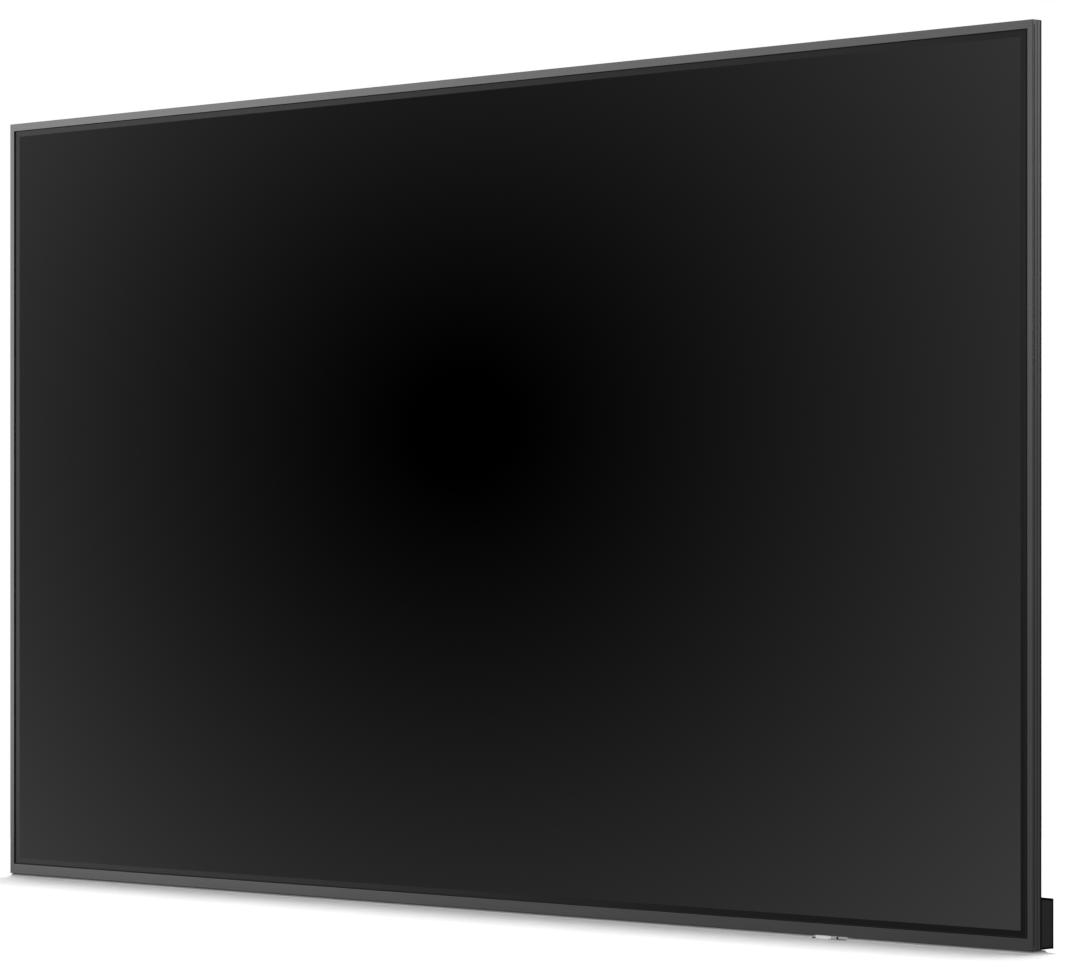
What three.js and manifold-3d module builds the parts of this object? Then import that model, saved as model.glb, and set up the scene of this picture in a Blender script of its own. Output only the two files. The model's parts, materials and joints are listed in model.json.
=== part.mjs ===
// Large wall-hung flat-panel display, 86-inch class.
// Millimetres. +X to the viewer's right, +Z up, the screen faces -Y.
// Origin: centre of the rear mounting plane, which the crossbar and the two rails share.
import * as THREE from 'three';
import { mergeVertices } from 'three/addons/utils/BufferGeometryUtils.js';
import { ConvexGeometry } from 'three/addons/geometries/ConvexGeometry.js';
import Module from 'manifold-3d';

const wasm = await Module();
wasm.setup();

// ---------------------------------------------------------------- driving dimensions
const WIDTH = 1935.0;            // outer width
const HEIGHT = 1109.4;           // outer height
const DEPTH = 68.0;              // front face to mounting plane
const EDGE = 16.1;               // depth of the frame's side
const FACE_SIDE = 8.4;           // width of the frame's front face, left and right
const FACE_TOP = 10.1;
const FACE_BOTTOM = 15.0;
const LIP = 1.0;                 // thickness of the frame's front lip
const WALL = 1.6;                // thickness of the frame's outer wall
const FLANGE = 8.4;              // rear return flange
const CHAMFER = 0.8;             // front outer corner
const GASKET_SHOW = 2.3;         // seal visible inside the lip
const GLASS_UNDER = 3.4;         // glass hidden under the lip
const GLASS_D = [1.7, 3.5];      // depth of the cell's two faces, from the front
const PLATEAU = 30.0;            // rear cover, outer field
const HUMP = 63.0;               // rear cover, electronics housing
const SHEET = 1.5;               // rear cover sheet
const VESA_X = 600, VESA_Z = 400;// M8 mounting pattern
const TAP_R = 3.4;               // M8 tapping size
const POD = { x0: 787.5, x1: 967.5, z0: -552.5, z1: -490.7, z1r: -493.2, d0: 16.4, d1: 39.2 };
const KEY_X = [875, 899, 923, 947], KEY_Z = -522, KEY_TRAVEL = 0.8;
const LED_ROWS = 5, LED_PITCH = 206, LED_LENSES = 9;
const SENSOR_X = [620, 674];     // receiver module

const X = WIDTH / 2, Z = HEIGHT / 2;
const LIP_X = X - FACE_SIDE, LIP_T = Z - FACE_TOP, LIP_B = -Z + FACE_BOTTOM;
const Y = (d) => d - DEPTH;      // depth from the front face to the Y coordinate

// ---------------------------------------------------------------- helpers
const box = (x0, x1, d0, d1, z0, z1) =>
  new THREE.BoxGeometry(x1 - x0, d1 - d0, z1 - z0).translate((x0 + x1) / 2, Y((d0 + d1) / 2), (z0 + z1) / 2);

const outline = (pts) => new THREE.Shape(pts.map(([a, b]) => new THREE.Vector2(a, b)));
const V = (x, y, z) => new THREE.Vector3(x, y, z);

// an outline of (x, z) points run through depth d0 to d1
function prismXZ(pts, d0, d1, holes = []) {
  const s = outline(pts);
  for (const h of holes) s.holes.push(new THREE.Path(h.map(([a, b]) => new THREE.Vector2(a, b))));
  const g = new THREE.ExtrudeGeometry(s, { depth: d1 - d0, bevelEnabled: false });
  g.applyMatrix4(new THREE.Matrix4().makeBasis(V(1, 0, 0), V(0, 0, 1), V(0, -1, 0)));
  return g.translate(0, Y(d1), 0);
}
// an outline of (depth, z) points run along x
function prismDZ(pts, x0, x1) {
  const g = new THREE.ExtrudeGeometry(outline(pts.map(([d, z]) => [Y(d), z])), { depth: x1 - x0, bevelEnabled: false });
  g.applyMatrix4(new THREE.Matrix4().makeBasis(V(0, 1, 0), V(0, 0, 1), V(1, 0, 0)));
  return g.translate(x0, 0, 0);
}
// an outline of (x, depth) points run along z
function prismXD(pts, z0, z1) {
  const g = new THREE.ExtrudeGeometry(outline(pts.map(([x, d]) => [x, Y(d)])), { depth: z1 - z0, bevelEnabled: false });
  return g.translate(0, 0, z0);
}
const rect = (x0, x1, z0, z1) => [[x0, z0], [x1, z0], [x1, z1], [x0, z1]];
// a round bar along depth (Y), along x or along z
function barY(x, z, r, d0, d1, n = 12, r1 = r) {
  return new THREE.CylinderGeometry(r1, r, d1 - d0, n).translate(x, Y((d0 + d1) / 2), z);
}
function barX(d, z, r, x0, x1, n = 12) {
  return new THREE.CylinderGeometry(r, r, x1 - x0, n).rotateZ(-Math.PI / 2).translate((x0 + x1) / 2, Y(d), z);
}
// a straight-sided solid between two rectangles at two depths
function frustum(a, da, b, db) {
  const pts = [];
  for (const [r, d] of [[a, da], [b, db]])
    for (const [x, z] of rect(...r)) pts.push(V(x, Y(d), z));
  return new ConvexGeometry(pts);
}

function solid(geometry) {
  const g = geometry.index ? geometry.clone() : geometry.clone();
  for (const name of Object.keys(g.attributes)) if (name !== 'position') g.deleteAttribute(name);
  const m = mergeVertices(g, 1e-4);
  return new wasm.Manifold(new wasm.Mesh({
    numProp: 3,
    vertProperties: new Float32Array(m.attributes.position.array),
    triVerts: new Uint32Array(m.index.array),
  }));
}
function geometry(manifold) {
  const mesh = manifold.getMesh();
  const g = new THREE.BufferGeometry();
  g.setAttribute('position', new THREE.BufferAttribute(new Float32Array(mesh.vertProperties), 3));
  g.setIndex(new THREE.BufferAttribute(new Uint32Array(mesh.triVerts), 1));
  g.computeVertexNormals();
  return g;
}
const join = (...gs) => gs.map((g) => (g.isBufferGeometry ? solid(g) : g)).reduce((a, b) => a.add(b));
const cut = (a, ...gs) => gs.reduce((m, g) => m.subtract(g.isBufferGeometry ? solid(g) : g), a.isBufferGeometry ? solid(a) : a);
const both = (a, b) => (a.isBufferGeometry ? solid(a) : a).intersect(b.isBufferGeometry ? solid(b) : b);

const FINISH = {
  frame_metal: [0x4a4b4d, 0.38, 0.9], bracket: [0x8d8f92, 0.45, 1.0], seal: [0x0b0b0c, 0.8, 0],
  screen: [0x060607, 0.06, 0], frame_plastic: [0x141415, 0.6, 0], film: [0xdfe3e6, 0.35, 0],
  diffuser: [0xf0f1f0, 0.6, 0], reflector: [0xf6f6f4, 0.7, 0], led_board: [0xe6e8e2, 0.5, 0],
  chassis: [0x9a9c9e, 0.42, 1.0], board: [0x14472c, 0.45, 0], connector: [0x9fa1a4, 0.32, 1.0],
  port_plate: [0x1b1c1e, 0.5, 0.6], cover: [0x1d1e20, 0.55, 0.5], rail: [0x2a2b2d, 0.45, 0.8],
  inlet: [0x0d0d0e, 0.45, 0], key: [0x232426, 0.5, 0], pod: [0x1f2022, 0.5, 0], lens: [0xe9edf0, 0.12, 0],
  speaker: [0x101011, 0.6, 0], handle: [0x2b2c2e, 0.4, 0.8], screw: [0x6f7174, 0.35, 1.0],
};
const group = new THREE.Group();
function add(name, shape, finish) {
  const [color, roughness, metalness] = FINISH[finish];
  const g = shape.isBufferGeometry ? shape : geometry(shape);
  const m = new THREE.Mesh(g, new THREE.MeshStandardMaterial({ color, roughness, metalness }));
  m.name = name;
  group.add(m);
  return m;
}

// ---------------------------------------------------------------- outer frame: four mitred extrusions
const GAP = 0.15; // half the gap at each mitre
{
  // channel section as (distance in from the outer edge, depth); face = width of the front face
  const section = (face) => [
    [CHAMFER, 0], [face, 0], [face, LIP], [WALL, LIP], [WALL, EDGE - 1.5],
    [FLANGE, EDGE - 1.5], [FLANGE, EDGE], [0, EDGE], [0, CHAMFER],
  ];
  // wedge that mitres a strip: outer edge to lip corner, carried past the inside
  const k = 3; // how far the wedge runs past the lip
  const cornerTR = [X, Z], inTR = [X - k * FACE_SIDE, Z - k * FACE_TOP];
  const inBR = [X - k * FACE_SIDE, -Z + k * FACE_BOTTOM];
  const right = prismXD(section(FACE_SIDE).map(([u, d]) => [X - u, d]), -Z, Z);
  const left = prismXD(section(FACE_SIDE).map(([u, d]) => [-X + u, d]), -Z, Z);
  const top = prismDZ(section(FACE_TOP).map(([u, d]) => [d, Z - u]), -X, X);
  const bottom = prismDZ(section(FACE_BOTTOM).map(([u, d]) => [d, -Z + u]), -X, X);
  const wr = prismXZ([[X + 1, -Z - 1.8 + GAP * 3], [X + 1, Z + 1.2 - GAP * 3], [inTR[0], inTR[1] - GAP * 2], [inBR[0], inBR[1] + GAP * 3]], -1, 20);
  const wl = prismXZ([[-X - 1, -Z - 1.8 + GAP * 3], [-X - 1, Z + 1.2 - GAP * 3], [-inTR[0], inTR[1] - GAP * 2], [-inBR[0], inBR[1] + GAP * 3]], -1, 20);
  const wt = prismXZ([[-cornerTR[0] - 0.83, Z + 1], [X + 0.83, Z + 1], [inTR[0], inTR[1]], [-inTR[0], inTR[1]]], -1, 20);
  const wb = prismXZ([[-X - 0.56, -Z - 1], [X + 0.56, -Z - 1], [inBR[0], inBR[1]], [-inBR[0], inBR[1]]], -1, 20);
  const screwHoles = [];
  for (const [x, z] of SCREWS()) screwHoles.push(barY(x, z, 1.7, EDGE - 3, EDGE + 1, 8));
  const drill = (m) => cut(m, ...screwHoles);
  add('bezel_right', drill(both(right, wr)), 'frame_metal');
  add('bezel_left', drill(both(left, wl)), 'frame_metal');
  add('bezel_top', drill(both(top, wt)), 'frame_metal');
  add('bezel_bottom', cut(drill(both(bottom, wb)), box(SENSOR_X[0] + 2, SENSOR_X[1] - 2, 4, 12, -Z - 2, -Z + WALL + 1)), 'frame_metal');
}
function SCREWS() {
  const z = Z - 4.9;
  return [[-640, z], [640, z], [-640, -z], [560, -z]];
}

// corner brackets: L plates that lie in the channel behind the middle frame
for (const [name, sx, sz] of [['corner_bracket_top_left', -1, 1], ['corner_bracket_top_right', 1, 1],
  ['corner_bracket_bottom_left', -1, -1], ['corner_bracket_bottom_right', 1, -1]]) {
  const ox = X - WALL - 0.3, oz = Z - WALL - 0.3, arm = 42, w = 6.2;
  const pts = [[ox, oz], [ox - arm, oz], [ox - arm, oz - w], [ox - w, oz - w], [ox - w, oz - arm], [ox, oz - arm]]
    .map(([x, z]) => [sx * x, sz * z]);
  if (sx * sz > 0) pts.reverse();
  add(name, prismXZ(pts, 12.6, 14.3), 'bracket');
}

// ---------------------------------------------------------------- front seal, panel and backlight
const ring = (x, zt, zb, xi, zti, zbi, d0, d1) =>
  prismXZ(rect(-x, x, zb, zt), d0, d1, [rect(-xi, xi, zbi, zti)]);
add('front_gasket', ring(LIP_X + 2.6, LIP_T + 2.6, LIP_B - 2.6, LIP_X - GASKET_SHOW, LIP_T - GASKET_SHOW, LIP_B + GASKET_SHOW, 1.15, 1.5), 'seal');
const GX = LIP_X + GLASS_UNDER, GT = LIP_T + GLASS_UNDER, GB = LIP_B - GLASS_UNDER;
add('lcd_panel', box(-GX, GX, ...GLASS_D, GB, GT), 'screen');

const MX = X - WALL - 0.5, MT = Z - WALL - 0.5, MB = GB - 3.4; // middle frame, outside
add('middle_frame', join(
  ring(MX, MT, MB, 944, 532, -527, 3.75, 5.6),
  cut(box(-MX, MX, 5.5, 12.2, MB, MT), box(-MX + 2.3, MX - 2.3, 5, 13, MB + 2.3, MT - 2.3)),
), 'frame_plastic');
add('optical_film_stack', box(-959.5, 959.5, 5.9, 6.6, MB + 3, MT - 3), 'film');
add('diffuser_plate', box(-959.5, 959.5, 6.9, 8.9, MB + 3, MT - 3), 'diffuser');

const TRAY = { rimX: 961.5, rimT: MT - 3, rimB: MB + 3, a: [-945, 945, -527, 533], b: [-905, 905, -487, 493] };
const shrink = ([x0, x1, z0, z1], s) => [x0 + s, x1 - s, z0 + s, z1 - s];
{
  const outer = join(box(-TRAY.rimX, TRAY.rimX, 9.2, 10.4, TRAY.rimB, TRAY.rimT), frustum(TRAY.a, 9.2, TRAY.b, 25.2));
  // stiffening ribs pressed into the pan's floor run up and down beside the rails
  const tray = cut(outer, frustum(shrink(TRAY.a, 1.6), 9.1, shrink(TRAY.b, 1.6), 24.0));
  add('backlight_chassis', tray, 'chassis');
}
{
  const a = shrink(TRAY.a, 4), b = shrink(TRAY.b, 4);
  let sheet = cut(frustum(a, 9.3, b, 22.5), frustum(shrink(a, 0.7), 9.2, shrink(b, 0.7), 22.0));
  for (let i = 0; i < LED_ROWS; i++) {
    const z = (i - (LED_ROWS - 1) / 2) * LED_PITCH + 3;
    sheet = cut(sheet, box(-870, 870, 21, 24, z - 9, z + 9));
  }
  add('reflector_sheet', sheet, 'reflector');
}
for (let i = 0; i < LED_ROWS; i++) {
  const z = (i - (LED_ROWS - 1) / 2) * LED_PITCH + 3;
  const parts = [box(-888, 888, 22.75, 23.75, z - 11, z + 11)];
  for (let k = 0; k < LED_LENSES; k++) {
    const x = (k - (LED_LENSES - 1) / 2) * 205;
    parts.push(barY(x, z, 5, 18.5, 22.9, 6, 8));
  }
  add('led_bar_' + (i + 1), join(...parts), 'led_board');
}

// ---------------------------------------------------------------- boards on the back of the chassis
add('source_board_left', box(-720, -160, 25.5, 27.1, -480, -452), 'board');
add('source_board_right', box(160, 720, 25.5, 27.1, -480, -452), 'board');
add('timing_board', join(box(-150, 150, 27.5, 29.1, 70, 165), box(-34, 20, 29, 38, 92, 146), box(60, 120, 29, 32, 80, 90)), 'board');
add('main_board', join(box(-486, -345, 31.8, 33.4, -158, 98), box(-430, -365, 33, 50, -60, 5), box(-420, -372, 33, 37, 30, 60)), 'board');
add('power_board', join(box(-60, 250, 27.5, 29.1, -232, -42), box(20, 90, 29, 52, -190, -110),
  box(130, 165, 29, 48, -190, -60), box(-40, 0, 29, 44, -200, -150)), 'board');

// four sockets on the board's edge face the connector bay, towards -X
const SOCKETS = [ // [name, z, width along z, height along depth, depth centre]
  ['video_socket_1', -112, 14.2, 4.8, 40.4], ['video_socket_2', -72, 14.2, 4.8, 40.4],
  ['data_socket', -28, 12.6, 5.4, 40.6], ['network_socket', 26, 12.0, 9.6, 42.2],
];
for (const [name, z, w, h, d] of SOCKETS) {
  const x0 = -491.8, x1 = -474;
  add(name, cut(box(x0, x1, d - h / 2 - 1.4, d + h / 2 + 1.4, z - w / 2 - 1.6, z + w / 2 + 1.6),
    box(x0 - 1, x0 + 13.5, d - h / 2, d + h / 2, z - w / 2, z + w / 2)), 'connector');
}
add('port_plate', cut(box(-492.1, -490.5, 34.0, 60.5, -166, 106), box(-495, -488, 35.0, 49.6, -135, 65)), 'port_plate');

// ---------------------------------------------------------------- mounting rails and crossbar
const RAIL_W = 56, RAIL_L = 500;
function rail(x0, x1, z0, z1, along) {
  // folded channel, open towards the chassis, with a foot flange along both sides
  const t = 2.5;
  const outer = box(x0, x1, 25.6, DEPTH, z0, z1);
  const inner = along === 'z' ? box(x0 + t, x1 - t, 20, DEPTH - t, z0 - 1, z1 + 1) : box(x0 - 1, x1 + 1, 20, DEPTH - t, z0 + t, z1 - t);
  const feet = along === 'z'
    ? join(box(x0 - 14, x0 + 1, 25.6, 25.6 + t * 0.7, z0, z1), box(x1 - 1, x1 + 14, 25.6, 25.6 + t * 0.7, z0, z1))
    : join(box(x0, x1, 25.6, 25.6 + t * 0.7, z0 - 14, z0 + 1), box(x0, x1, 25.6, 25.6 + t * 0.7, z1 - 1, z1 + 14));
  return join(cut(outer, inner), feet);
}
{
  for (const [name, s] of [['mount_rail_left', -1], ['mount_rail_right', 1]]) {
    const x = s * VESA_X / 2;
    const body = rail(x - RAIL_W / 2, x + RAIL_W / 2, -RAIL_L / 2, RAIL_L / 2, 'z');
    const bosses = [], holes = [];
    for (const z of [-VESA_Z / 2, VESA_Z / 2]) {
      bosses.push(barY(x, z, 9, DEPTH - 16, DEPTH - 1, 12));
      holes.push(barY(x, z, TAP_R, DEPTH - 20, DEPTH + 1, 12));
    }
    add(name, cut(join(body, ...bosses), ...holes), 'rail');
  }
  const xi = VESA_X / 2 - RAIL_W / 2 - 0.4;
  const bar = join(
    cut(box(-xi, xi, 25.6 + 4, DEPTH, -22, 22), box(-xi - 1, xi + 1, 20, DEPTH - 2.5, -19.5, 19.5)),
  );
  add('mount_crossbar', bar, 'rail');
}

// ---------------------------------------------------------------- rear cover and electronics cover
const BAY = { x: -488.6, z0: -176, z1: 116 };      // opening for the connector tray
const PBAY = { x0: 118, x1: 238, z: -248.7 };      // opening for the mains tray
const FLANGE_D = [PLATEAU + 0.3, PLATEAU + 1.8];
{
  const t = SHEET;
  const R1 = [-954, 954, -541, 541], R2 = [-905, 905, -492, 492];
  const R3 = [-578, 578, -326, 258], R4 = [-556, 556, -306, 238];
  // outer field: flat rim, sloping margin, flat field with a window for the electronics
  const outer = join(box(-963.5, 963.5, 16.4, 16.4 + t, -550.7, 550.7), frustum(R1, 16.4, R2, PLATEAU));
  const inner = frustum(shrink(R1, 2.2), 16.3, shrink(R2, 1.6), PLATEAU - t);
  add('rear_cover', cut(cut(outer, inner),
    box(R3[0], R3[1], 20, 40, R3[2], R3[3]),
    box(POD.x0 - 0.4, 1000, 10, 70, -700, POD.z1 + 0.4),       // room for the pod
    ...SCREWS().map(([x, z]) => barY(x, z, 2.0, 15, 19, 8))), 'cover');

  // electronics cover: a flat flange on the field and a raised housing with two bays
  const F = [R3[0] - 14, R3[1] + 14, R3[2] - 14, R3[3] + 14];
  const shell = cut(
    join(box(F[0], F[1], ...FLANGE_D, F[2], F[3]), frustum(R3, PLATEAU + 1, R4, HUMP)),
    frustum(shrink(R3, 1.8), PLATEAU, shrink(R4, 1.8), HUMP - t));
  const cuts = [
    box(-700, BAY.x, FLANGE_D[1], 80, BAY.z0, BAY.z1),
    box(PBAY.x0, PBAY.x1, FLANGE_D[1], 80, -400, PBAY.z),
    box(-VESA_X / 2, VESA_X / 2, 55, 80, -22.6, 22.6),         // crossbar
  ];
  for (const s of [-1, 1]) {
    const x0 = s * VESA_X / 2 - RAIL_W / 2 - 0.6, x1 = s * VESA_X / 2 + RAIL_W / 2 + 0.6;
    cuts.push(box(x0, x1, 55, 80, -RAIL_L / 2 - 0.6, RAIL_L / 2 + 0.6));
    // the rails' upper ends run out through the sloping top of the housing
    cuts.push(box(x0, x1, 37, 80, 225, RAIL_L / 2 + 0.6));
  }
  // vents in the top and bottom slopes of the housing
  for (let i = 0; i < 9; i++) {
    const x = -220 + i * 55;
    cuts.push(box(x - 20, x + 20, 42, 46, 225, 270), box(x - 20, x + 20, 50, 54, 225, 270));
  }
  for (let i = 0; i < 6; i++) {
    const x = -250 + i * 55;
    cuts.push(box(x - 20, x + 20, 42, 46, -340, -290), box(x - 20, x + 20, 50, 54, -340, -290));
  }
  for (const s of [-1, 1]) for (let i = 0; i < 4; i++) {
    const x = s * (400 + i * 34);
    cuts.push(box(x - 13, x + 13, 40, 44, -340, -290), box(x - 13, x + 13, 48, 52, -340, -290));
  }
  add('electronics_cover', cut(shell, ...cuts), 'cover');

  // trays: a floor and three walls, closed to the slope of the housing
  const w = 1.3, d0 = FLANGE_D[1] + 0.3, d1 = HUMP - 0.4;
  {
    const x0 = R3[0] + 1, x1 = BAY.x - 0.3, z0 = BAY.z0 + 0.3, z1 = BAY.z1 - 0.3;
    const side = [[x0, d0], [x1, d0], [x1, d1], [R4[0] + 0.6, d1]];
    add('connector_tray', cut(join(
      box(x0, x1, d0, d0 + w, z0, z1), box(x1 - w, x1, d0, d1, z0, z1),
      prismXD(side, z0, z0 + w), prismXD(side, z1 - w, z1)), box(-495, -485, 35.2, 49.4, -137, 67)), 'cover');
  }
  {
    const x0 = PBAY.x0 + 0.3, x1 = PBAY.x1 - 0.3, z0 = R3[2] + 1, z1 = PBAY.z - 0.3;
    const side = [[d0, z0], [d0, z1], [d1, z1], [d1, R4[2] + 0.6]].reverse();
    add('mains_tray', cut(join(
      box(x0, x1, d0, d0 + w, z0, z1), box(x0, x1, d0, d1, z1 - w, z1),
      prismDZ(side, x0, x0 + w), prismDZ(side, x1 - w, x1)),
      box(190.7, 221.3, 35.9, 58.1, z1 - 3, z1 + 4), box(143.2, 172.8, 38.2, 55.8, z1 - 3, z1 + 4)), 'cover');
  }
}
SCREWS().forEach(([x, z], i) =>
  add('cover_screw_' + (i + 1), join(barY(x, z, 3.4, 18.2, 20.0, 10), barY(x, z, 1.4, 13.9, 18.4, 8)), 'screw'));

// ---------------------------------------------------------------- mains inlet and switch
const MAINS_Z = PBAY.z - 0.3 - 1.3; // outer face of the mains tray's wall
{
  const xc = 206, dc = 47, z = MAINS_Z;
  const body = join(
    box(xc - 17.5, xc + 17.5, dc - 13.5, dc + 13.5, z - 2.6, z - 0.3),
    box(xc - 14.4, xc + 14.4, dc - 10.4, dc + 10.4, z - 0.5, z + 17),
  );
  const pins = [[0, -4], [-7, 3.2], [7, 3.2]].map(([x, d]) => box(xc + x - 1, xc + x + 1, dc + d - 2, dc + d + 2, z + 1, z + 16));
  add('mains_inlet', join(cut(body, box(xc - 12.2, xc + 12.2, dc - 8.2, dc + 8.2, z - 4, z + 14.5)), ...pins), 'inlet');
}
const ROCKER = { x: 158, d: 47, z: MAINS_Z + 1.2, rest: -8 };
{
  const { x, d, z } = ROCKER;
  add('switch_housing', cut(join(
    box(x - 16.5, x + 16.5, d - 11, d + 11, MAINS_Z - 2.2, MAINS_Z - 0.3),
    box(x - 14.2, x + 14.2, d - 8.2, d + 8.2, MAINS_Z - 0.5, MAINS_Z + 14),
  ), box(x - 11.6, x + 11.6, d - 6.6, d + 6.6, MAINS_Z - 4, MAINS_Z + 12)), 'inlet');
  const pts = [[-10.2, -6.2], [0, -4.2], [10.2, -6.2], [8.6, 4.6], [-8.6, 4.6]];
  const s = new THREE.Shape(pts.map(([a, b]) => new THREE.Vector2(a, b)));
  const g = new THREE.ExtrudeGeometry(s, { depth: 12.4, bevelEnabled: false });
  g.applyMatrix4(new THREE.Matrix4().makeBasis(V(1, 0, 0), V(0, 0, 1), V(0, -1, 0)));
  g.translate(0, 6.2, 0);
  const m = add('power_rocker', g, 'key');
  m.position.set(x, Y(d), z);
  m.rotation.y = THREE.MathUtils.degToRad(ROCKER.rest);
}

// ---------------------------------------------------------------- speakers behind the lower vents
for (const [name, s] of [['speaker_left', -1], ['speaker_right', 1]]) {
  const x = s * 451;
  add(name, join(box(x - 68, x + 68, 28, 56, -294, -254),
    new THREE.CylinderGeometry(13, 13, 3, 12).translate(x - 34, Y(46), -295.2),
    new THREE.CylinderGeometry(13, 13, 3, 12).translate(x + 34, Y(46), -295.2)), 'speaker');
}

// ---------------------------------------------------------------- control pod behind the lower right corner
{
  const { x0, x1, z0, z1, z1r, d0, d1 } = POD, t = 2.0;
  const shell = prismDZ([[d0, z0], [d1, z0], [d1, z1r], [d0, z1]], x0, x1);
  const hollow = prismDZ([[d0 - 1, z0 + t], [d1 - t, z0 + t], [d1 - t, z1r - t], [d0 - 1, z1 - t]], x0 + t, x1 - t);
  const holes = KEY_X.map((x) => box(x - 7.4, x + 7.4, d1 - 4, d1 + 2, KEY_Z - 4.9, KEY_Z + 4.9));
  // its front edge is cut to the slope of the chassis
  const slope = frustum(shrink(TRAY.a, -0.8), 9.1, shrink(TRAY.b, -0.8), 26.0);
  add('control_pod', cut(shell, hollow, slope, ...holes), 'pod');
  add('key_board', join(box(858, 962, 32.2, 33.8, -541, -503)), 'board');
  ['key_power', 'key_source', 'key_minus', 'key_plus'].forEach((name, i) => {
    const x = KEY_X[i];
    add(name, join(
      box(x - 8.6, x + 8.6, 35.0, 36.4, KEY_Z - 6.1, KEY_Z + 6.1),
      box(x - 7.0, x + 7.0, 36.3, d1 + 0.9, KEY_Z - 4.5, KEY_Z + 4.5),
      frustum([x - 7.0, x + 7.0, KEY_Z - 4.5, KEY_Z + 4.5], d1 + 0.8, [x - 6.2, x + 6.2, KEY_Z - 3.7, KEY_Z + 3.7], d1 + 1.5),
    ), 'key');
  });
}

// ---------------------------------------------------------------- receiver and indicator under the bottom edge
{
  const [x0, x1] = SENSOR_X, zb = -Z;
  const housing = join(
    box(x0, x1, 3, 13, zb - 2.9, zb - 0.3),
    box(x0 + 2.4, x1 - 2.4, 4.4, 11.6, zb - 0.5, zb + 2.4),
  );
  add('sensor_housing', cut(housing,
    box(x0 + 1.2, x0 + 23.4, 1, 9.4, zb - 4, zb - 0.9), box(x0 + 36.2, x1 - 1.2, 1, 9.4, zb - 4, zb - 0.9),
    box(x0 + 6, x0 + 14, 5.5, 8.5, zb - 4, zb + 4), box(x0 + 42, x0 + 48, 5.5, 8.5, zb - 4, zb + 4)), 'pod');
  add('sensor_window', join(box(x0 + 1.5, x0 + 23.1, 1.4, 9.1, zb - 3.2, zb - 1.2), box(x0 + 6.4, x0 + 13.6, 5.9, 8.1, zb - 1.4, zb + 2.1)), 'lens');
  add('indicator_light_guide', join(box(x0 + 36.5, x1 - 1.5, 1.4, 9.1, zb - 3.2, zb - 1.2), box(x0 + 42.4, x0 + 47.6, 5.9, 8.1, zb - 1.4, zb + 2.1)), 'lens');
  add('sensor_board', join(box(x0 - 4, x1 + 4, 3.8, 12.2, zb + 3.0, zb + 4.6), box(x0 + 7, x0 + 13, 6, 10, zb + 4.5, zb + 7)), 'board');
}

// ---------------------------------------------------------------- carrying handles
class Loop extends THREE.CurvePath {}
for (const [name, x, z] of [['handle_upper_left', -760, 300], ['handle_upper_right', 760, 300],
  ['handle_lower_left', -760, -300], ['handle_lower_right', 760, -300]]) {
  const half = 70, r = 14, reach = 59.5, foot = PLATEAU + 0.6;
  const pts = [];
  pts.push(V(x, Y(foot), z - half));
  for (let i = 0; i <= 4; i++) { const a = (i / 4) * Math.PI / 2; pts.push(V(x, Y(reach - r + r * Math.sin(a)), z - half + r - r * Math.cos(a))); }
  for (let i = 0; i <= 4; i++) { const a = (i / 4) * Math.PI / 2; pts.push(V(x, Y(reach - r + r * Math.cos(a)), z + half - r + r * Math.sin(a))); }
  pts.push(V(x, Y(foot), z + half));
  const path = new THREE.CurvePath();
  for (let i = 0; i + 1 < pts.length; i++) path.add(new THREE.LineCurve3(pts[i], pts[i + 1]));
  const tube = sweep(pts, 5.5, 8);
  add(name, join(tube,
    box(x - 13, x + 13, PLATEAU + 0.3, PLATEAU + 2.8, z - half - 20, z - half + 9),
    box(x - 13, x + 13, PLATEAU + 0.3, PLATEAU + 2.8, z + half - 9, z + half + 20)), 'handle');
}
// a round bar along a run of points
function sweep(pts, r, n) {
  const circle = new THREE.Shape();
  const ring = [];
  for (let i = 0; i < n; i++) { const a = (i + 0.5) / n * 2 * Math.PI; ring.push(new THREE.Vector2(r * Math.cos(a), r * Math.sin(a))); }
  circle.setFromPoints(ring);
  const curve = new THREE.CatmullRomCurve3(pts, false, 'centripetal');
  return new THREE.ExtrudeGeometry(circle, { steps: 22, extrudePath: curve, bevelEnabled: false });
}

export default group;
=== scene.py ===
import bpy
import bmesh
import json
import math
from mathutils import Vector, Matrix

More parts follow.
